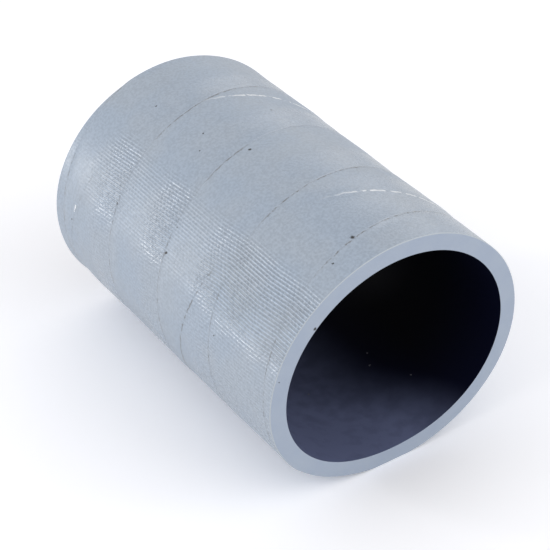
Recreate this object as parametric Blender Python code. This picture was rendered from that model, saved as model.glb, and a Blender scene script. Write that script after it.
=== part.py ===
"""Connecting hose: a short length of wrap-cured rubber hose, cut off plain at both ends.

The hose is one piece. Rubber is wound on a round mandrel, wrapped in a spiral of woven curing tape
and vulcanised. The mandrel leaves a smooth bore. Each turn of the tape leaves a sharp edge line round
the outside, with a shallow dip beside it. The cured blank is then cut to length with two plain cuts.
The soft wall has spread sideways and sagged in store, so its section is a low oval, wide near the
bottom, with a small flat where it lies.

The hose lies on its side with its bore along Y, and +Z is up. Its origin is below the middle of its
box, at the height of the surface that it lies on.
"""
import math

import bmesh
import bpy
from mathutils import Vector

# Hose sizes, in metres
BORE_DIAMETER = 0.060
WALL = 0.0045
LENGTH = 0.100

# How far the soft wall has settled in store
SIDE_SPREAD = 0.00187
UNDERSIDE_SAG = 0.00035
FLAT_DEPTH = 0.0003

# The spiral left by the curing tape
TAPE_PITCH = 0.02345
TAPE_EDGE_PLACE = 0.0115
TAPE_EDGE_WIDTH = 0.0004
TAPE_DIP_WIDTH = 0.0080
TAPE_DIP_DEPTH = 0.00022
TAPE_WANDER = 0.0008
TAPE_WANDER_ANGLE = math.radians(56)

# The two cuts: how far each one is swung about the upright, and tipped back at the top
NEAR_CUT_SWING = math.radians(1.1)
NEAR_CUT_TIP = math.radians(-0.5)
FAR_CUT_SWING = math.radians(0.8)
FAR_CUT_TIP = math.radians(-2.5)

# How finely the round surfaces are divided
SIDES = 96
DIP_STEPS = 3
BAND_STEPS = 2
SHARP_EDGE_ANGLE = math.radians(40)

# The blank is this much longer than the hose at each end before it is cut
SPARE_END = 0.010

SKIN_COLOUR = (0.40, 0.455, 0.54, 1.0)
SKIN_ROUGHNESS = 0.6
BORE_COLOUR = (0.06, 0.07, 0.11, 1.0)
BORE_ROUGHNESS = 0.5


def clear_scene():
    """Remove whatever the file opened with."""
    for item in list(bpy.data.objects):
        bpy.data.objects.remove(item, do_unlink=True)


def rubber_material(name, colour, roughness):
    """A plain rubber finish."""
    material = bpy.data.materials.new(name)
    material.use_nodes = True
    shader = material.node_tree.nodes["Principled BSDF"]
    shader.inputs["Base Color"].default_value = colour
    shader.inputs["Roughness"].default_value = roughness
    shader.inputs["Metallic"].default_value = 0.0
    material.diffuse_color = colour
    return material


def settled_radius(radius, angle):
    """Distance from the middle of the bore to a round wall that has spread and sagged.

    The angle is measured from +X towards +Z.
    """
    spread = SIDE_SPREAD * math.cos(2 * angle)
    sag = UNDERSIDE_SAG * math.sin(3 * angle)
    return radius + spread - sag


def tape_line(turn, angle):
    """Place along Y of the tape's winding, after so many turns, at an angle round the hose."""
    wander = TAPE_WANDER * math.sin(angle + TAPE_WANDER_ANGLE)
    return TAPE_EDGE_PLACE + TAPE_PITCH * (turn - angle / math.tau) + wander


def tape_rows():
    """Distances from a tape edge, and the depth of the dip there, that describe one turn."""
    dip_length = TAPE_DIP_WIDTH - TAPE_EDGE_WIDTH
    rows = [(0.0, 0.0)]
    for step in range(DIP_STEPS):
        share = step / DIP_STEPS
        rows.append((TAPE_EDGE_WIDTH + dip_length * share, TAPE_DIP_DEPTH * (1 - share) ** 2))
    for step in range(BAND_STEPS):
        share = step / BAND_STEPS
        rows.append((TAPE_DIP_WIDTH + (TAPE_PITCH - TAPE_DIP_WIDTH) * share, 0.0))
    return rows


def add_wrapped_outside(mesh):
    """The wrapped outside of the blank: an open tube whose rows of points follow the tape."""
    outer_radius = BORE_DIAMETER / 2 + WALL
    underside = settled_radius(outer_radius, -math.pi / 2) - FLAT_DEPTH
    reach = LENGTH / 2 + SPARE_END + TAPE_WANDER
    first_turn = math.floor((-reach - TAPE_EDGE_PLACE) / TAPE_PITCH)
    last_turn = math.ceil((reach - TAPE_EDGE_PLACE) / TAPE_PITCH) + 1

    rings = []
    for turn in range(first_turn, last_turn + 1):
        for distance, depth in tape_rows():
            ring = []
            for side in range(SIDES):
                angle = math.tau * side / SIDES
                radius = settled_radius(outer_radius, angle) - depth
                height = max(radius * math.sin(angle), -underside)
                along = tape_line(turn, angle) + distance
                ring.append(mesh.verts.new((radius * math.cos(angle), along, height)))
            rings.append(ring)

    # The end of a row meets the start of the row that lies one whole turn back.
    one_turn = len(tape_rows())
    for row in range(len(rings) - 1):
        for side in range(SIDES - 1):
            mesh.faces.new((rings[row][side], rings[row + 1][side],
                            rings[row + 1][side + 1], rings[row][side + 1]))
        if row >= one_turn:
            mesh.faces.new((rings[row][-1], rings[row + 1][-1],
                            rings[row + 1 - one_turn][0], rings[row - one_turn][0]))


def add_bore(mesh):
    """The smooth bore that the mandrel leaves: an open tube in the dark skin."""
    reach = LENGTH / 2 + SPARE_END
    near_ring = []
    far_ring = []
    for side in range(SIDES):
        angle = math.tau * side / SIDES
        radius = settled_radius(BORE_DIAMETER / 2, angle)
        across = radius * math.cos(angle)
        height = radius * math.sin(angle)
        near_ring.append(mesh.verts.new((across, -reach, height)))
        far_ring.append(mesh.verts.new((across, reach, height)))
    for side in range(SIDES):
        following = (side + 1) % SIDES
        face = mesh.faces.new((near_ring[side], near_ring[following],
                               far_ring[following], far_ring[side]))
        face.material_index = 1


def cut_normal(direction, swing, tip):
    """The way a cut end faces: along Y by its sign, swung about the upright and tipped up."""
    return Vector((math.tan(swing), direction, math.tan(tip))).normalized()


def cut_end(mesh, direction, swing, tip):
    """Cut the blank through at one end, and close the wall there with a flat ring."""
    place = Vector((0.0, direction * LENGTH / 2, 0.0))
    normal = cut_normal(direction, swing, tip)
    everything = list(mesh.verts) + list(mesh.edges) + list(mesh.faces)
    bmesh.ops.bisect_plane(mesh, geom=everything, dist=1e-7, plane_co=place, plane_no=normal,
                           clear_outer=True)
    rim = [edge for edge in mesh.edges
           if edge.is_boundary and all(abs((point.co - place).dot(normal)) < 1e-6
                                       for point in edge.verts)]
    ring = bmesh.ops.bridge_loops(mesh, edges=rim)
    for face in ring["faces"]:
        face.material_index = 0


def make_hose():
    """The whole hose, laid on its side over the origin."""
    mesh = bmesh.new()
    add_wrapped_outside(mesh)
    add_bore(mesh)
    cut_end(mesh, -1, NEAR_CUT_SWING, NEAR_CUT_TIP)
    cut_end(mesh, 1, FAR_CUT_SWING, FAR_CUT_TIP)
    bmesh.ops.recalc_face_normals(mesh, faces=mesh.faces)

    data = bpy.data.meshes.new("hose")
    mesh.to_mesh(data)
    mesh.free()
    data.materials.append(rubber_material("cured_rubber", SKIN_COLOUR, SKIN_ROUGHNESS))
    data.materials.append(rubber_material("bore_skin", BORE_COLOUR, BORE_ROUGHNESS))
    data.shade_smooth()
    data.set_sharp_from_angle(angle=SHARP_EDGE_ANGLE)

    hose = bpy.data.objects.new("hose", data)
    bpy.context.scene.collection.objects.link(hose)
    lowest = [min(point.co[axis] for point in data.vertices) for axis in range(3)]
    highest = [max(point.co[axis] for point in data.vertices) for axis in range(3)]
    hose.location = (-(lowest[0] + highest[0]) / 2, -(lowest[1] + highest[1]) / 2, -lowest[2])
    return hose


clear_scene()
make_hose()
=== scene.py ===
"""A short connecting hose of light blue-grey rubber, lying on its side on a pale floor.

The hose is put together below in the order in which such a hose is made: the section of its wall, the
outside that was cured under woven tape, the bore left by the mandrel, drawn dark with painted light
and shade, and the two cut ends.
Everything is in metres. The bore runs along Y, and +Z is up.
"""
import math

import bmesh
import bpy
import numpy as np
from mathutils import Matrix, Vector


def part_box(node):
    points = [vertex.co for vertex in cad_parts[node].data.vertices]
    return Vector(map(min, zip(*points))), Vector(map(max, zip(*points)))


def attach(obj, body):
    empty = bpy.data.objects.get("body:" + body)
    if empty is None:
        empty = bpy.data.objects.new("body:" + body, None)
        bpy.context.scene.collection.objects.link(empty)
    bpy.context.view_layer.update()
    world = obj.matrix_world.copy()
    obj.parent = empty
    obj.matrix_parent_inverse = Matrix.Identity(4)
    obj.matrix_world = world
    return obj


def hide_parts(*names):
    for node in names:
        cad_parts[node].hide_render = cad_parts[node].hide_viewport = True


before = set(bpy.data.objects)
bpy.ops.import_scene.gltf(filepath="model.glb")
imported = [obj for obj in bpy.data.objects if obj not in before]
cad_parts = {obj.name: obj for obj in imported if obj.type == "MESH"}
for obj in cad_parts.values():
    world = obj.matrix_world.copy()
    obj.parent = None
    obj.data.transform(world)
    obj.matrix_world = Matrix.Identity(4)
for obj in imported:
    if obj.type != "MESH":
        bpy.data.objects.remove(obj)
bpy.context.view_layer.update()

# The wall's section.
# One wall of soft rubber, 4.5 mm thick, cut to 100 mm. It was round when it left its mandrel, and has
# spread sideways and sagged in store, with a small flat where it lies.
WALL = 0.0045
LENGTH = 0.100
UNDERSIDE_SAG = 0.00035
FLAT_DEPTH = 0.0003

hose_low, hose_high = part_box("hose")
hose_width = hose_high.x - hose_low.x
hose_height = hose_high.z - hose_low.z
OUTER_RADIUS = (hose_width + hose_height + FLAT_DEPTH) / 4
SIDE_SPREAD = (hose_width - hose_height - FLAT_DEPTH) / 4
BORE_RADIUS = OUTER_RADIUS - WALL


def settled_radius(radius, angle):
    """Distance from the middle of the bore to a wall that has settled, at an angle from +X to +Z."""
    return radius + SIDE_SPREAD * np.cos(2 * angle) - UNDERSIDE_SAG * np.sin(3 * angle)


# The wrapped outside.
# The hose was cured under one long strip of woven tape, wound over a coarser wrap of the other hand.
# Each tape edge pressed a sharp line with a dip beyond it, and the weave pressed fine ribs.
TAPE_PITCH = 0.02345
TAPE_EDGE_PLACE = 0.0115
TAPE_EDGE_WIDTH = 0.0004
TAPE_DIP_WIDTH = 0.0080
TAPE_DIP_DEPTH = 0.00022
TAPE_WANDER = 0.0008
TAPE_WANDER_ANGLE = math.radians(56)
CREASE_PITCH = 0.054
CREASE_PLACE = 0.0153
CREASE_WANDER = 0.0008
CREASE_WANDER_ANGLE = math.radians(129)
CREASE_SWELL = 0.00012
CREASE_SWELL_WIDTH = 0.0025
RIB_PITCH = 0.00085
RIB_DEPTH = 0.00008
RIB_DRAG_REACH = 0.0100
FAINT_RIB_SHARE = 0.50
FIRM_RIB_REACH = (0.006, 0.014)
TIGHT_END = (-0.016, -0.024)
TIGHT_RIB_GAIN = 0.55
LOOSE_END = (0.035, 0.042)
LOOSE_RIB_SHARE = 0.15
RUBBED_RIB_SHARE = 0.04
RUBBED_ANGLE = math.radians(78)
RUBBED_REACH = (0.53, 0.67)
FADED_FLANK = (0.42, 0.24)
FADED_RIB_SHARE = 0.28
UNEVENNESS = 0.00009
SLOW_WAVES = ((2, 210, 0), (5, -130, 1))
QUICK_WAVES = ((9, 330, 2), (4, -520, 0))
QUICK_WAVE_SHARE = 0.5
STRIP_ROWS = 18
ROW_CROWDING = 1.9
COLUMNS_A_RIB = 4
SPARE_END = 0.010

rib_count = 2 * round(math.pi * OUTER_RADIUS / RIB_PITCH)
rib_angle = math.tau / rib_count


def smooth(value, low, high):
    """A share that rises smoothly from 0 at low to 1 at high."""
    share = np.clip((value - low) / (high - low), 0, 1)
    return share * share * (3 - 2 * share)


def tape_line(angle):
    """Place along Y of the tape's edge, at an angle wound on round the hose."""
    wander = TAPE_WANDER * np.sin(angle + TAPE_WANDER_ANGLE)
    return TAPE_EDGE_PLACE - TAPE_PITCH * angle / math.tau + wander


def tape_dip(distance):
    """Depth of the dip at a distance from a tape edge, with the short step down at the edge."""
    share = np.clip((distance - TAPE_EDGE_WIDTH) / (TAPE_DIP_WIDTH - TAPE_EDGE_WIDTH), 0, 1)
    step = np.clip(distance / TAPE_EDGE_WIDTH, 0, 1)
    return TAPE_DIP_DEPTH * step * (1 - share) ** 2


def rib_drag(distance):
    """Angle by which the ribs are dragged round beside a tape edge, up to one whole rib at the edge."""
    return rib_angle * np.clip(1 - distance / RIB_DRAG_REACH, 0, 1)


def rib_strength(distance, along, angle):
    """How firmly the weave is pressed in: best beside a tape edge and at the tight end of the wrap.

    It fades at the loose end and low down on the flanks, and along the crown handling has rubbed it
    nearly smooth.
    """
    tight = 1 - smooth(along, *TIGHT_END[::-1])
    firm = np.maximum(1 - smooth(distance, *FIRM_RIB_REACH), tight)
    pressed = (FAINT_RIB_SHARE + (1 - FAINT_RIB_SHARE) * firm) * (1 + TIGHT_RIB_GAIN * tight)
    loose = (1 - LOOSE_RIB_SHARE) * smooth(along, *LOOSE_END)
    rubbed = (1 - RUBBED_RIB_SHARE) * smooth(np.cos(angle - RUBBED_ANGLE), *RUBBED_REACH)
    faded = (1 - FADED_RIB_SHARE) * (1 - smooth(np.sin(angle), *FADED_FLANK[::-1]))
    return pressed * (1 - loose) * (1 - rubbed) * (1 - faded)


def crease_swell(along, angle):
    """The low swelling on the far side of the other wrap's crease, and the dip on its near side."""
    wander = CREASE_WANDER * np.sin(angle + CREASE_WANDER_ANGLE)
    turn = (along - CREASE_PLACE - wander) / CREASE_PITCH - angle / math.tau
    distance = (turn - np.round(turn)) * CREASE_PITCH / CREASE_SWELL_WIDTH

    # This curve reaches its full height one swell width from the crease.
    return CREASE_SWELL * distance * np.exp(0.5 - 0.5 * distance ** 2)


def waves(along, angle, shapes):
    """The sum of waves, each given by its number round the hose, its twist a metre and its start."""
    return sum(np.sin(count * angle + twist * along + start) for count, twist, start in shapes)


def unevenness(along, angle):
    """The slow unevenness of a wall that was rolled by hand."""
    slow = waves(along, angle, SLOW_WAVES)
    quick = waves(along, angle, QUICK_WAVES)
    return UNEVENNESS * (slow + QUICK_WAVE_SHARE * quick) / 2


def wrapped_outside():
    """Points and faces of the wound strip, as an open tube that is longer than the hose.

    Each column of points runs across the strip and along a rib. The strip's far edge joins the near
    edge of the winding beyond it, which is one rib short of a whole turn back.
    """
    columns_a_turn = COLUMNS_A_RIB * (rib_count - 1)
    column_angle = rib_angle / COLUMNS_A_RIB
    reach = LENGTH / 2 + SPARE_END + 2 * TAPE_PITCH
    first = math.floor(-reach / TAPE_PITCH * math.tau / column_angle)
    column = np.arange(first, -first)[:, None]
    distance = TAPE_PITCH * (np.arange(STRIP_ROWS)[None, :] / STRIP_ROWS) ** ROW_CROWDING
    angle = column * column_angle - rib_drag(distance)
    along = tape_line(angle) + distance

    rib = RIB_DEPTH / 2 * np.cos(math.tau * column / COLUMNS_A_RIB)
    radius = settled_radius(OUTER_RADIUS, angle) - tape_dip(distance)
    radius += rib * rib_strength(distance, along, angle)
    radius += crease_swell(along, angle) + unevenness(along, angle)
    underside = settled_radius(OUTER_RADIUS, -math.pi / 2) - FLAT_DEPTH
    height = np.maximum(radius * np.sin(angle), -underside)
    points = np.stack([radius * np.cos(angle), along, height], axis=2).reshape(-1, 3)

    number = np.arange(len(points)).reshape(-1, STRIP_ROWS)
    joined = number[columns_a_turn:]
    rows = np.concatenate([joined, number[:-columns_a_turn, :1]], axis=1)
    corners = [rows[:-1, :-1], rows[:-1, 1:], rows[1:, 1:], rows[1:, :-1]]
    return points, np.stack(corners, axis=2).reshape(-1, 4)


# The bore.
# The wall was wound on a polished mandrel, which left the bore smooth and straight. Its skin is drawn
# nearly black: partly its own dark colour, partly painted shade.
BORE_COLUMNS = 240
BORE_ROWS = 24


def smooth_bore():
    """Points and faces of the bore, as an open tube that is longer than the hose."""
    reach = LENGTH / 2 + SPARE_END
    angle = np.arange(BORE_COLUMNS)[None, :] * math.tau / BORE_COLUMNS
    along = np.linspace(-reach, reach, BORE_ROWS)[:, None] + 0 * angle
    radius = settled_radius(BORE_RADIUS, angle) + 0 * along
    points = np.stack([radius * np.cos(angle), along, radius * np.sin(angle)], axis=2)
    number = np.arange(BORE_ROWS * BORE_COLUMNS).reshape(BORE_ROWS, BORE_COLUMNS)
    following = np.roll(number, -1, axis=1)
    corners = [number[:-1], number[1:], following[1:], following[:-1]]
    return points.reshape(-1, 3), np.stack(corners, axis=2).reshape(-1, 4)


# The cut ends.
# Two plain cuts with a long knife, neither of them quite square. The knife leaves a flat, matt ring,
# and handling has worn its outer edge a little.
NEAR_CUT_SWING = math.radians(1.1)
NEAR_CUT_TIP = math.radians(-0.5)
FAR_CUT_SWING = math.radians(0.8)
FAR_CUT_TIP = math.radians(-2.5)
EDGE_WEAR = 0.00017
SHARP_EDGE_ANGLE = math.radians(38)
CUT_TOLERANCE = 1e-6
MEETING_DISTANCE = 1e-7

OUTSIDE, BORE, CUT, EDGE = range(4)


def open_tube(points, faces, finish):
    """A tube as its own mesh data, with one finish all over."""
    data = bpy.data.meshes.new("tube")
    data.from_pydata(points.tolist(), [], faces.tolist())
    data.polygons.foreach_set("material_index", np.full(len(faces), finish, np.int32))
    return data


def lies_on(edge, place, normal):
    """Whether both ends of an edge lie in a cutting plane."""
    return all(abs((point.co - place).dot(normal)) < CUT_TOLERANCE for point in edge.verts)


def cut_rim(mesh, finish, place, normal):
    """Cut the tube of one finish by a plane, and return the edges of its new rim."""
    faces = [face for face in mesh.faces if face.material_index == finish]
    edges = list({edge for face in faces for edge in face.edges})
    points = list({point for face in faces for point in face.verts})
    bmesh.ops.bisect_plane(mesh, geom=points + edges + faces, dist=MEETING_DISTANCE,
                           plane_co=place, plane_no=normal, clear_outer=True)
    return [edge for edge in mesh.edges
            if edge.is_boundary and edge.link_faces[0].material_index == finish
            and lies_on(edge, place, normal)]


def cut_end(mesh, direction, swing, tip):
    """Cut both tubes through at one end, wear the outer edge, and close the wall with a flat ring."""
    place = Vector((0.0, direction * LENGTH / 2, 0.0))
    normal = Vector((math.tan(swing), direction, math.tan(tip))).normalized()
    worn_place = place - normal * EDGE_WEAR
    outer_rim = cut_rim(mesh, OUTSIDE, worn_place, normal)
    bore_rim = cut_rim(mesh, BORE, place, normal)

    worn = bmesh.ops.extrude_edge_only(mesh, edges=outer_rim)["geom"]
    for item in worn:
        if isinstance(item, bmesh.types.BMVert):
            inward = Vector((-item.co.x, 0.0, -item.co.z)).normalized()
            item.co += inward * EDGE_WEAR
            item.co -= normal * (item.co - place).dot(normal)
        if isinstance(item, bmesh.types.BMFace):
            item.material_index = EDGE
    worn_rim = [item for item in worn
                if isinstance(item, bmesh.types.BMEdge) and lies_on(item, place, normal)]

    ring = bmesh.ops.triangle_fill(mesh, use_beauty=True, edges=worn_rim + bore_rim, normal=normal)
    for face in ring["geom"]:
        if isinstance(face, bmesh.types.BMFace):
            face.material_index = CUT


mesh = bmesh.new()
mesh.from_mesh(open_tube(*wrapped_outside(), OUTSIDE))
mesh.from_mesh(open_tube(*smooth_bore(), BORE))
cut_end(mesh, -1, NEAR_CUT_SWING, NEAR_CUT_TIP)
cut_end(mesh, 1, FAR_CUT_SWING, FAR_CUT_TIP)
loose_points = [point for point in mesh.verts if not point.link_faces]
bmesh.ops.delete(mesh, geom=loose_points, context="VERTS")
bmesh.ops.recalc_face_normals(mesh, faces=mesh.faces)
hose_data = bpy.data.meshes.new("rubber_hose")
mesh.to_mesh(hose_data)
mesh.free()
hose_data.shade_smooth()
hose_data.set_sharp_from_angle(angle=SHARP_EDGE_ANGLE)

corners = np.array([point.co for point in hose_data.vertices])
middle = (corners.min(axis=0) + corners.max(axis=0)) / 2
hose = bpy.data.objects.new("rubber_hose", hose_data)
bpy.context.scene.collection.objects.link(hose)
hose.location = ((hose_low.x + hose_high.x) / 2 - middle[0],
                 (hose_low.y + hose_high.y) / 2 - middle[1],
                 hose_low.z - corners[:, 2].min())


# The finishes.
# One rubber shows in four ways: the outside that was cured under tape, the dark bore, the matt cuts
# and their worn outer edges with a painted highlight. Each mark, painted light and shade among them,
# is laid on by its place on the hose.
NOISE_MIDDLE = 0.5
MIX_SHARE, MIX_FIRST, MIX_SECOND = 0, 6, 7
MIX_RESULT = 2


def add_node(tree, kind, inputs=(), **settings):
    """A shader node with its settings made, and its inputs given values or other nodes' outputs."""
    node = tree.nodes.new(kind)
    for name, value in settings.items():
        setattr(node, name, value)
    for key, value in dict(inputs).items():
        if isinstance(value, bpy.types.NodeSocket):
            tree.links.new(value, node.inputs[key])
        else:
            node.inputs[key].default_value = value
    return node


def calc(tree, operation, *values):
    """The result of one sum, on numbers or on other nodes' outputs."""
    return add_node(tree, "ShaderNodeMath", enumerate(values), operation=operation).outputs[0]


def fade(tree, value, start, end, low=0.0, high=1.0):
    """A value carried smoothly from low to high between start and end."""
    inputs = {"Value": value, "From Min": start, "From Max": end, "To Min": low, "To Max": high}
    return add_node(tree, "ShaderNodeMapRange", inputs, interpolation_type="SMOOTHSTEP").outputs[0]


def noise(tree, place, size, detail=2.0, roughness=0.5):
    """Soft noise whose features are about the given size in metres. Its values lie round a half."""
    inputs = {"Vector": place, "Scale": 1 / size, "Detail": detail, "Roughness": roughness}
    return add_node(tree, "ShaderNodeTexNoise", inputs).outputs["Fac"]


def blend_colour(tree, share, first, second):
    """A colour between two others."""
    inputs = {MIX_SHARE: share, MIX_FIRST: first, MIX_SECOND: second}
    return add_node(tree, "ShaderNodeMix", inputs, data_type="RGBA").outputs[MIX_RESULT]


def new_finish(name):
    """A material, its node tree and its shader."""
    material = bpy.data.materials.new(name)
    material.use_nodes = True
    return material, material.node_tree, material.node_tree.nodes["Principled BSDF"]


# The colours of the rubber, of the talc and grime on it, and of the painted highlight and shade.
RUBBER_BLUE = (0.360, 0.424, 0.516, 1.0)
RUBBER_GREY = (0.378, 0.432, 0.508, 1.0)
TALC_AND_HIGHLIGHT_WHITE = (0.88, 0.90, 0.93, 1.0)
DIRT_AND_SHADE_DARK = (0.125, 0.115, 0.105, 1.0)
SPECK_DARK = (0.03, 0.028, 0.028, 1.0)

# The weave's bumps, and how the crests and troughs of the ribs differ in gloss and in painted highlight
# and shade.
CROSS_THREAD_PITCH = 0.0013
CREST_SHARPNESS = 6.0
CREST_BUMP = 0.00006
CREST_PAINTED_HIGHLIGHT = 0.40
TROUGH_TOP = 0.5
TROUGH_PAINTED_SHADE = -0.125
TROUGH_ROUGHNESS = 0.09
TIGHT_BEAD_SHARE = 0.75
BEAD_BUMP = 0.000045
GRAIN_BUMP = 0.00006
MATT_TO_GLOSSY = (0.40, 0.24)

# The lines of the seams and of the crease, and how far the grime, the painted shade and the painted
# highlight reach along them.
SEAM_LINE_WIDTH = 0.00040
SEAM_GROOVE = 0.00002
CREASE_LINE_WIDTH = 0.00034
CREASE_GROOVE = 0.00003
# The seams carry grime at the crown and painted shade low on the flank.
GRIMY_CROWN = (0.78, 0.92)
SHADED_SEAM_FLANK = (0.54, 0.42)
CROWN_GRIME = (0.12, 0.95)
FLANK_SEAM_SHADE = (0.12, 0.75)
WIPED_PATCH = (0.009, 0.007, 0.033)
WIPED_REACH = (0.012, 0.018)
# Painted highlight: where the white dashes lie along the crease on the top.
CREASE_HIGHLIGHT_SIDE = (-0.0070, 0.0090)
CREASE_HIGHLIGHT_HEIGHT = (0.016, 0.024)
CREASE_HIGHLIGHT_WIDTH = 0.00048
# Painted shade: where the dark dashes lie along the crease low on the left flank.
SHADED_CREASE_SIDE = (-0.0295, -0.0315)
SHADED_CREASE_REACH = (0.030, 0.0)
CREASE_PAINTED_SHADE = (0.20, 0.70)
MARK_RAGGED = 0.0008

# Noise makes each of these uneven. Its values are the size of its patches in metres, the part of the
# noise that counts, and the share or the change that this part becomes.
RAGGED_SIZE = 0.0012
GRAIN_SIZE = 0.0009
BEAD_PATCH_SIZE = 0.0011
BEAD_PATCH_NOISE = (0.38, 0.62)
BEAD_PATCH_SHARE = (0.1, 2.0)
SEAM_DASH_SIZE = 0.0013
SEAM_DASH_NOISE = (0.42, 0.56)
SEAM_DASH_SHARE = (0.10, 0.9)
CREASE_DASH_SIZE = 0.0018
CREASE_DASH_NOISE = (0.42, 0.50)
FIRM_NOISE = (0.35, 0.65)
RIB_PATCH_SIZE = 0.007
RIB_PATCH_SHARE = (0.7, 1.25)
COLOUR_PATCH_SIZE = 0.014
MOTTLE_SIZE = 0.0007
MOTTLE_SHADE = (0.93, 1.07)
SOFT_NOISE = (0.3, 0.7)
GLOSS_PATCH_SIZE = 0.0015
GLOSS_PATCH_CHANGE = (-0.04, 0.04)

# Specks of grime: millimetres along from the middle, degrees from +X to +Z, millimetres across. The
# three at about 25 mm lie in a dip, a little below the round wall, so they are given larger.
SPECKS = ((36.5, 113, 0.5), (17.5, 109, 0.6), (13.0, 116, 0.4), (3.4, 101, 0.9), (17.1, 74, 0.5),
          (-41.2, 103, 1.3), (-44.5, 117, 0.5), (-43.1, 123, 0.4), (0.9, 146, 0.5), (0.2, 157, 0.9),
          (-25.7, 170, 0.5), (-37.9, 50, 0.6), (25.1, 152.5, 0.75), (24.8, 155.6, 1.0),
          (24.5, 158, 0.75), (42.0, 177, 0.6))

# Crumbs of talc in one short dash, given in the same way.
TALC_CRUMBS = ((40.8, 169.8, 0.5), (40.9, 170.6, 0.6), (41.0, 171.5, 0.5), (41.1, 172.5, 0.45))

# A speck begins to show at its size over the first of these, and is full at its size over the second.
SPECK_FADE = (1.6, 4.0)
SPECK_RAGGED = 0.0007
SPECK_RAGGED_SCALE = 1800.0


def add_specks(tree, place, colour, specks, wall_radius, speck_colour):
    """A colour with small ragged specks laid on it, at their places on a round wall."""
    inputs = {"Vector": place, "Scale": SPECK_RAGGED_SCALE}
    shift = add_node(tree, "ShaderNodeTexNoise", inputs).outputs["Color"]
    inputs = {0: shift, 1: (NOISE_MIDDLE,) * 3}
    shift = add_node(tree, "ShaderNodeVectorMath", inputs, operation="SUBTRACT").outputs[0]
    inputs = {0: shift, 1: (SPECK_RAGGED,) * 3, 2: place}
    ragged_place = add_node(tree, "ShaderNodeVectorMath", inputs, operation="MULTIPLY_ADD").outputs[0]
    for along_mm, degrees, across_mm in specks:
        speck_angle = math.radians(degrees)
        radius = settled_radius(wall_radius, speck_angle)
        centre = (radius * math.cos(speck_angle), along_mm / 1000, radius * math.sin(speck_angle))
        gap = add_node(tree, "ShaderNodeVectorMath", {0: ragged_place, 1: centre},
                       operation="DISTANCE").outputs["Value"]
        across = across_mm / 1000
        speck = fade(tree, gap, across / SPECK_FADE[0], across / SPECK_FADE[1])
        colour = blend_colour(tree, speck, colour, speck_colour)
    return colour


def line_gap(tree, share, pitch):
    """Distance to the nearest whole number of a share, in metres."""
    nearest = calc(tree, "SUBTRACT", share, calc(tree, "ROUND", share))
    return calc(tree, "MULTIPLY", calc(tree, "ABSOLUTE", nearest), pitch)


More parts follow.
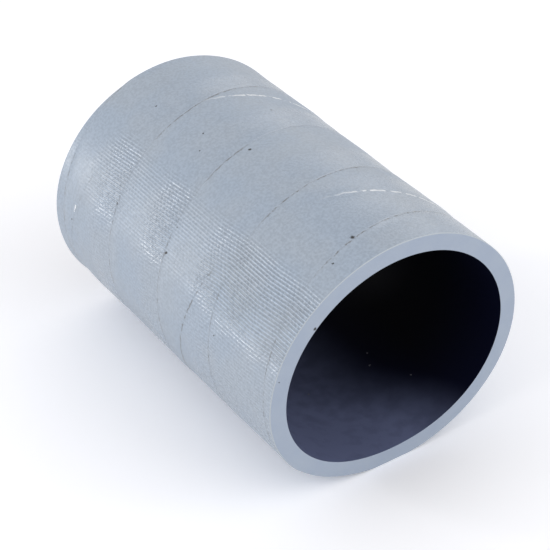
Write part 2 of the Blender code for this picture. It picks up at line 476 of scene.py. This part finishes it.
def wrapped_finish():
    """Cured rubber with the weave, the seams, the crease, talc, grime and painted light and shade of the
    wrapped outside.
    """
    material, tree, shader = new_finish("wrapped_rubber")
    place = add_node(tree, "ShaderNodeTexCoord").outputs["Object"]
    axes = add_node(tree, "ShaderNodeSeparateXYZ", {"Vector": place}).outputs
    angle = calc(tree, "ARCTAN2", axes["Z"], axes["X"])
    round_share = calc(tree, "DIVIDE", angle, math.tau)
    ragged = calc(tree, "SUBTRACT", noise(tree, place, RAGGED_SIZE), NOISE_MIDDLE)
    ragged = calc(tree, "MULTIPLY", ragged, MARK_RAGGED)
    ragged_along = calc(tree, "ADD", axes["Y"], ragged)

    wander = calc(tree, "SINE", calc(tree, "ADD", angle, TAPE_WANDER_ANGLE))
    along = calc(tree, "SUBTRACT", ragged_along, TAPE_EDGE_PLACE)
    along = calc(tree, "SUBTRACT", along, calc(tree, "MULTIPLY", wander, TAPE_WANDER))
    turn = calc(tree, "ADD", calc(tree, "DIVIDE", along, TAPE_PITCH), round_share)
    distance = calc(tree, "MULTIPLY", calc(tree, "FRACT", turn), TAPE_PITCH)
    seam_gap = line_gap(tree, turn, TAPE_PITCH)

    wander = calc(tree, "SINE", calc(tree, "ADD", angle, CREASE_WANDER_ANGLE))
    along = calc(tree, "SUBTRACT", ragged_along, CREASE_PLACE)
    along = calc(tree, "SUBTRACT", along, calc(tree, "MULTIPLY", wander, CREASE_WANDER))
    turn = calc(tree, "SUBTRACT", calc(tree, "DIVIDE", along, CREASE_PITCH), round_share)
    crease_gap = line_gap(tree, turn, CREASE_PITCH)

    # Each modelled rib has a narrow crest, and the cross threads break it into beads.
    drag = calc(tree, "MAXIMUM", calc(tree, "SUBTRACT", 1.0,
                                      calc(tree, "DIVIDE", distance, RIB_DRAG_REACH)), 0.0)
    rib_turn = calc(tree, "ADD", calc(tree, "DIVIDE", angle, rib_angle), drag)
    half_rib = calc(tree, "COSINE", calc(tree, "MULTIPLY", rib_turn, math.pi))
    crest = calc(tree, "POWER", calc(tree, "ABSOLUTE", half_rib), CREST_SHARPNESS)
    thread = calc(tree, "COSINE", calc(tree, "MULTIPLY", ragged_along, math.tau / CROSS_THREAD_PITCH))
    bead = calc(tree, "MULTIPLY", calc(tree, "MULTIPLY", thread, half_rib), BEAD_BUMP)
    uneven_beads = fade(tree, noise(tree, place, BEAD_PATCH_SIZE), *BEAD_PATCH_NOISE, *BEAD_PATCH_SHARE)
    tight = fade(tree, axes["Y"], *TIGHT_END)
    weave = calc(tree, "MULTIPLY", calc(tree, "MULTIPLY", bead, uneven_beads),
                 fade(tree, tight, 0.0, 1.0, 1.0, TIGHT_BEAD_SHARE))
    weave = calc(tree, "ADD", weave, calc(tree, "MULTIPLY", crest, CREST_BUMP))
    firm = calc(tree, "MAXIMUM", fade(tree, distance, *FIRM_RIB_REACH[::-1]), tight)
    pressed = calc(tree, "MULTIPLY", fade(tree, firm, 0.0, 1.0, FAINT_RIB_SHARE, 1.0),
                   fade(tree, tight, 0.0, 1.0, 1.0, 1 + TIGHT_RIB_GAIN))
    around = calc(tree, "SINE", angle)
    to_crown = calc(tree, "COSINE", calc(tree, "SUBTRACT", angle, RUBBED_ANGLE))
    kept = calc(tree, "MULTIPLY", fade(tree, to_crown, *RUBBED_REACH, 1.0, RUBBED_RIB_SHARE),
                fade(tree, around, *FADED_FLANK, 1.0, FADED_RIB_SHARE))
    kept = calc(tree, "MULTIPLY", kept, fade(tree, axes["Y"], *LOOSE_END, 1.0, LOOSE_RIB_SHARE))
    patchy = noise(tree, place, RIB_PATCH_SIZE, detail=3.0)
    patchy = fade(tree, patchy, *FIRM_NOISE, *RIB_PATCH_SHARE)
    relief = calc(tree, "MULTIPLY", pressed, kept)
    weave = calc(tree, "MULTIPLY", calc(tree, "MULTIPLY", weave, relief), patchy)

    seam_line = fade(tree, seam_gap, SEAM_LINE_WIDTH, 0.0)
    crease_line = fade(tree, crease_gap, CREASE_LINE_WIDTH, 0.0)
    grain = noise(tree, place, GRAIN_SIZE, detail=4.0, roughness=0.6)
    grain = calc(tree, "MULTIPLY", grain, GRAIN_BUMP)
    height = calc(tree, "ADD", weave, grain)
    height = calc(tree, "SUBTRACT", height, calc(tree, "MULTIPLY", seam_line, SEAM_GROOVE))
    height = calc(tree, "SUBTRACT", height, calc(tree, "MULTIPLY", crease_line, CREASE_GROOVE))
    bump = add_node(tree, "ShaderNodeBump", {"Height": height, "Distance": 1.0, "Strength": 1.0})
    tree.links.new(bump.outputs["Normal"], shader.inputs["Normal"])

    # Colour: the rubber's own slow change, a painted highlight on the ribs' crests and painted shade in
    # their troughs, then grime and painted shade in the seams, a painted highlight and painted shade in
    # the crease, and specks.
    patches = fade(tree, noise(tree, place, COLOUR_PATCH_SIZE, detail=4.0), *FIRM_NOISE)
    colour = blend_colour(tree, patches, RUBBER_BLUE, RUBBER_GREY)
    mottle_and_rib_light = noise(tree, place, MOTTLE_SIZE, detail=3.0)
    mottle_and_rib_light = fade(tree, mottle_and_rib_light, *FIRM_NOISE, *MOTTLE_SHADE)
    # Painted highlight on the ribs' crests and painted shade in their troughs.
    rib_painted_light = calc(tree, "MULTIPLY_ADD", crest, CREST_PAINTED_HIGHLIGHT, TROUGH_PAINTED_SHADE)
    mottle_and_rib_light = calc(tree, "ADD", mottle_and_rib_light, calc(tree, "MULTIPLY", rib_painted_light, relief))
    colour = add_node(tree, "ShaderNodeVectorMath", {0: colour, "Scale": mottle_and_rib_light},
                      operation="SCALE").outputs[0]
    seam_dashes = noise(tree, place, SEAM_DASH_SIZE, detail=3.0)
    seam_dashes = fade(tree, seam_dashes, *SEAM_DASH_NOISE, *SEAM_DASH_SHARE)
    # The seam lines carry grime at the crown, and painted shade low on the flank.
    grime_and_shade = calc(tree, "MAXIMUM", fade(tree, around, *GRIMY_CROWN, *CROWN_GRIME),
                 fade(tree, around, *SHADED_SEAM_FLANK, *FLANK_SEAM_SHADE))
    seam_mark = calc(tree, "MULTIPLY", calc(tree, "MULTIPLY", seam_line, seam_dashes), grime_and_shade)
    wiped_gap = add_node(tree, "ShaderNodeVectorMath", {0: place, 1: WIPED_PATCH},
                         operation="DISTANCE").outputs["Value"]
    seam_mark = calc(tree, "MULTIPLY", seam_mark, fade(tree, wiped_gap, *WIPED_REACH))
    colour = blend_colour(tree, seam_mark, colour, DIRT_AND_SHADE_DARK)
    crease_dashes = fade(tree, noise(tree, place, CREASE_DASH_SIZE, detail=3.0), *CREASE_DASH_NOISE)
    crease_mark = calc(tree, "MULTIPLY", crease_line, crease_dashes)
    # A painted highlight: white dashes along the crease on the top of the hose.
    crease_highlight = calc(tree, "MULTIPLY", fade(tree, axes["X"], *CREASE_HIGHLIGHT_SIDE), fade(tree, axes["Z"], *CREASE_HIGHLIGHT_HEIGHT))
    crease_highlight = calc(tree, "MULTIPLY", crease_highlight, fade(tree, crease_gap, CREASE_HIGHLIGHT_WIDTH, 0.0))
    crease_highlight = calc(tree, "MULTIPLY", crease_highlight, crease_dashes)
    colour = blend_colour(tree, crease_highlight, colour, TALC_AND_HIGHLIGHT_WHITE)
    # Painted shade: dark dashes along the crease low on the left flank, stronger towards the near end.
    crease_shade = calc(tree, "MULTIPLY", fade(tree, axes["X"], *SHADED_CREASE_SIDE),
                    fade(tree, axes["Y"], *SHADED_CREASE_REACH, *CREASE_PAINTED_SHADE))
    colour = blend_colour(tree, calc(tree, "MULTIPLY", crease_mark, crease_shade), colour, DIRT_AND_SHADE_DARK)
    colour = add_specks(tree, place, colour, SPECKS, OUTER_RADIUS, SPECK_DARK)
    colour = add_specks(tree, place, colour, TALC_CRUMBS, OUTER_RADIUS, TALC_AND_HIGHLIGHT_WHITE)
    tree.links.new(colour, shader.inputs["Base Color"])

    # Where the weave is pressed in well the skin is shinier, but the troughs between ribs are matt.
    sheen = noise(tree, place, GLOSS_PATCH_SIZE, detail=3.0)
    sheen = fade(tree, sheen, *SOFT_NOISE, *GLOSS_PATCH_CHANGE)
    glossy = calc(tree, "MULTIPLY", firm, fade(tree, axes["Y"], *LOOSE_END, 1.0, 0.0))
    sheen = calc(tree, "ADD", sheen, fade(tree, glossy, 0.0, 1.0, *MATT_TO_GLOSSY))
    trough = fade(tree, crest, 0.0, TROUGH_TOP, TROUGH_ROUGHNESS, 0.0)
    sheen = calc(tree, "MULTIPLY_ADD", trough, relief, sheen)
    tree.links.new(sheen, shader.inputs["Roughness"])
    return material


CUT_BLUE = (0.386, 0.452, 0.571, 1.0)
CUT_GREY = (0.408, 0.473, 0.582, 1.0)
CUT_PATCH_SIZE = 0.006
CUT_GRAIN_SIZE = 0.0006
CUT_GRAIN_BUMP = 0.000006
CUT_ROUGHNESS = 0.6

# Nicks in the near cut: millimetres along from the middle, degrees from +X to +Z, millimetres across.
# Each kind lies at its own share of the wall, out from the bore.
BORE_EDGE_NICKS = ((-50.6, 142, 0.8),)
BORE_EDGE_SHARE = 1 / 8
MID_WALL_NICKS = ((-50.7, 167, 0.4),)
MID_WALL_SHARE = 3 / 4


def cut_finish():
    """Cut rubber: matt, with a faint grain and a slow change of shade."""
    material, tree, shader = new_finish("cut_rubber")
    place = add_node(tree, "ShaderNodeTexCoord").outputs["Object"]
    patches = fade(tree, noise(tree, place, CUT_PATCH_SIZE, detail=3.0), *SOFT_NOISE)
    colour = blend_colour(tree, patches, CUT_BLUE, CUT_GREY)
    for nicks, share in ((BORE_EDGE_NICKS, BORE_EDGE_SHARE), (MID_WALL_NICKS, MID_WALL_SHARE)):
        colour = add_specks(tree, place, colour, nicks, BORE_RADIUS + WALL * share, SPECK_DARK)
    tree.links.new(colour, shader.inputs["Base Color"])
    height = calc(tree, "MULTIPLY", noise(tree, place, CUT_GRAIN_SIZE, detail=3.0), CUT_GRAIN_BUMP)
    bump = add_node(tree, "ShaderNodeBump", {"Height": height, "Distance": 1.0, "Strength": 1.0})
    tree.links.new(bump.outputs["Normal"], shader.inputs["Normal"])
    shader.inputs["Roughness"].default_value = CUT_ROUGHNESS
    return material


# Painted light and shade: the bore is paler along its lower left side and near each mouth, where the
# lamps would light it. Elsewhere it is nearly black, its own dark colour deepened by painted shade.
BORE_BLACK = (0.0015, 0.0018, 0.0040, 1.0)
BORE_PAINTED_LIGHT = (0.128, 0.149, 0.262, 1.0)
BORE_PAINTED_DIM_LIGHT = (0.003, 0.004, 0.016, 1.0)
PAINTED_LIGHT_REACH = 0.250
PAINTED_LIGHT_SIDE = (-0.43, 0.0, -0.90)
PAINTED_LIGHT_SPREAD = (0.0155, 0.0330)
DIM_LIGHT_SPREAD = (0.006, 0.022)
MOUTH_LIGHT_REACH = 0.030
MOUTH_LIGHT_SPREAD = 0.0085
LIGHT_PATCH_SIZE = 0.004
LIGHT_PATCH_SHARE = (0.88, 1.12)
BORE_ROUGHNESS = 0.6
BORE_SPECULAR = 0.05
CRUMB_PALE = (0.13, 0.13, 0.15, 1.0)

# Crumbs of rubber: millimetres along from the middle, degrees from +X to +Z, millimetres across.
CRUMBS = ((-18.5, -59, 0.5), (-22.3, -63, 0.6), (-33.4, -53, 0.5), (-21.6, -101, 0.4))


def bore_finish():
    """The smooth dark skin of the bore, with painted light along its lower left side and near each
    mouth.
    """
    material, tree, shader = new_finish("bore_skin")
    place = add_node(tree, "ShaderNodeTexCoord").outputs["Object"]
    axes = add_node(tree, "ShaderNodeSeparateXYZ", {"Vector": place}).outputs
    depth = calc(tree, "SUBTRACT", LENGTH / 2, calc(tree, "ABSOLUTE", axes["Y"]))
    light_near_mouth = fade(tree, depth, PAINTED_LIGHT_REACH, 0.0)
    lit_side = add_node(tree, "ShaderNodeVectorMath", {0: place, 1: PAINTED_LIGHT_SIDE},
                       operation="DOT_PRODUCT").outputs["Value"]
    at_mouth = fade(tree, depth, MOUTH_LIGHT_REACH, 0.0, 0.0, MOUTH_LIGHT_SPREAD)
    lit_side = calc(tree, "ADD", lit_side, at_mouth)
    painted_light = calc(tree, "MULTIPLY", light_near_mouth, fade(tree, lit_side, *PAINTED_LIGHT_SPREAD))
    patches = noise(tree, place, LIGHT_PATCH_SIZE, detail=4.0)
    painted_light = calc(tree, "MULTIPLY", painted_light, fade(tree, patches, *SOFT_NOISE, *LIGHT_PATCH_SHARE))
    painted_dim_light = calc(tree, "MULTIPLY", light_near_mouth, fade(tree, lit_side, *DIM_LIGHT_SPREAD))
    painted_dim_light = calc(tree, "MAXIMUM", painted_dim_light, fade(tree, depth, MOUTH_LIGHT_REACH, 0.0))
    colour = blend_colour(tree, painted_dim_light, BORE_BLACK, BORE_PAINTED_DIM_LIGHT)
    colour = blend_colour(tree, painted_light, colour, BORE_PAINTED_LIGHT)
    colour = add_specks(tree, place, colour, CRUMBS, BORE_RADIUS, CRUMB_PALE)
    tree.links.new(colour, shader.inputs["Base Color"])
    shader.inputs["Roughness"].default_value = BORE_ROUGHNESS
    shader.inputs["Specular IOR Level"].default_value = BORE_SPECULAR
    return material


# Painted highlight: the worn outer edge of each cut is drawn paler.
EDGE_HIGHLIGHT_PALE = (0.52, 0.57, 0.62, 1.0)
EDGE_ROUGHNESS = 0.5


def edge_highlight_finish():
    """The outer edge of a cut, worn a little, and drawn paler as a painted highlight."""
    material, _, shader = new_finish("worn_edge_highlight")
    shader.inputs["Base Color"].default_value = EDGE_HIGHLIGHT_PALE
    shader.inputs["Roughness"].default_value = EDGE_ROUGHNESS
    return material


for finish in (wrapped_finish(), bore_finish(), cut_finish(), edge_highlight_finish()):
    hose_data.materials.append(finish)

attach(hose, "root")
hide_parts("hose")

# The floor.
# A plain pale studio sheet lies under the hose and catches its soft shadow. It looks a little
# brighter to the camera than to the hose, which keeps the background nearly white.
FLOOR_SIZE = 1.8
FLOOR_COLOUR = (0.95, 0.95, 0.96, 1.0)
FLOOR_SEEN_COLOUR = (1.19, 1.19, 1.23, 1.0)

floor_data = bpy.data.meshes.new("floor")
half = FLOOR_SIZE / 2
floor_data.from_pydata([(-half, -half, 0), (half, -half, 0), (half, half, 0), (-half, half, 0)],
                       [], [(0, 1, 2, 3)])
floor = bpy.data.objects.new("floor", floor_data)
floor.location.z = hose_low.z
bpy.context.scene.collection.objects.link(floor)
floor_finish, floor_tree = new_finish("studio_floor")[:2]
floor_seen = add_node(floor_tree, "ShaderNodeLightPath").outputs["Is Camera Ray"]
floor_colour = blend_colour(floor_tree, floor_seen, FLOOR_COLOUR, FLOOR_SEEN_COLOUR)
sheet = add_node(floor_tree, "ShaderNodeBsdfDiffuse", {"Color": floor_colour})
floor_tree.links.new(sheet.outputs[0], floor_tree.nodes["Material Output"].inputs["Surface"])
floor_data.materials.append(floor_finish)

# The light.
# Three large soft lamps stand round the hose in a white room, and light its left side, the near cut
# and the top. A small low lamp behind on the left rakes the ribs.
ROOM_WHITE = (1.0, 1.0, 1.0, 1.0)
ROOM_STRENGTH = 0.68
ROOM_SEEN_STRENGTH = 1.0
LAMP_DISTANCE = 1.2

world = bpy.data.worlds.new("studio")
bpy.context.scene.world = world
world.use_nodes = True
backdrop = world.node_tree.nodes["Background"]
backdrop.inputs["Color"].default_value = ROOM_WHITE
seen = add_node(world.node_tree, "ShaderNodeLightPath").outputs["Is Camera Ray"]
room = fade(world.node_tree, seen, 0.0, 1.0, ROOM_STRENGTH, ROOM_SEEN_STRENGTH)
world.node_tree.links.new(room, backdrop.inputs["Strength"])


def softbox(name, azimuth, elevation, width, height, radiance):
    """A soft lamp that faces the hose. Its azimuth runs from +Y towards +X, in degrees."""
    turn = math.radians(azimuth)
    lift = math.radians(elevation)
    away = Vector((math.sin(turn) * math.cos(lift), math.cos(turn) * math.cos(lift), math.sin(lift)))
    lamp_data = bpy.data.lights.new(name, "AREA")
    lamp_data.shape = "RECTANGLE"
    lamp_data.size = width
    lamp_data.size_y = height
    lamp_data.energy = radiance * math.pi * width * height
    lamp = bpy.data.objects.new(name, lamp_data)
    bpy.context.scene.collection.objects.link(lamp)
    lamp.location = away * LAMP_DISTANCE
    lamp.rotation_euler = away.to_track_quat("Z", "Y").to_euler()


softbox("left_box", azimuth=276, elevation=36, width=0.9, height=0.7, radiance=1.15)
softbox("rake_box", azimuth=314, elevation=11, width=0.16, height=0.20, radiance=30.0)
softbox("front_right_box", azimuth=146, elevation=33, width=1.0, height=0.7, radiance=1.4)
softbox("back_right_box", azimuth=50, elevation=22, width=0.9, height=0.6, radiance=0.65)

# The camera.
# A long lens looks down on the near mouth from its left. It aims just below the middle of the hose,
# which fills most of the picture.
CAMERA_AZIMUTH = math.radians(33.76)
CAMERA_ELEVATION = math.radians(35.16)
CAMERA_DISTANCE = 0.4968
CAMERA_AIM = Vector((-0.0022, -0.0016, -0.0036))
SENSOR_WIDTH = 36.0
LENS = 128.5

camera_data = bpy.data.cameras.new("camera")
camera_data.sensor_width = SENSOR_WIDTH
camera_data.lens = LENS
camera = bpy.data.objects.new("camera", camera_data)
bpy.context.scene.collection.objects.link(camera)
forward = Vector((math.sin(CAMERA_AZIMUTH) * math.cos(CAMERA_ELEVATION),
                  math.cos(CAMERA_AZIMUTH) * math.cos(CAMERA_ELEVATION),
                  -math.sin(CAMERA_ELEVATION)))
camera.location = hose.location + CAMERA_AIM - forward * CAMERA_DISTANCE
camera.rotation_euler = forward.to_track_quat("-Z", "Y").to_euler()
bpy.context.scene.camera = camera
bpy.context.scene.view_settings.view_transform = "Standard"
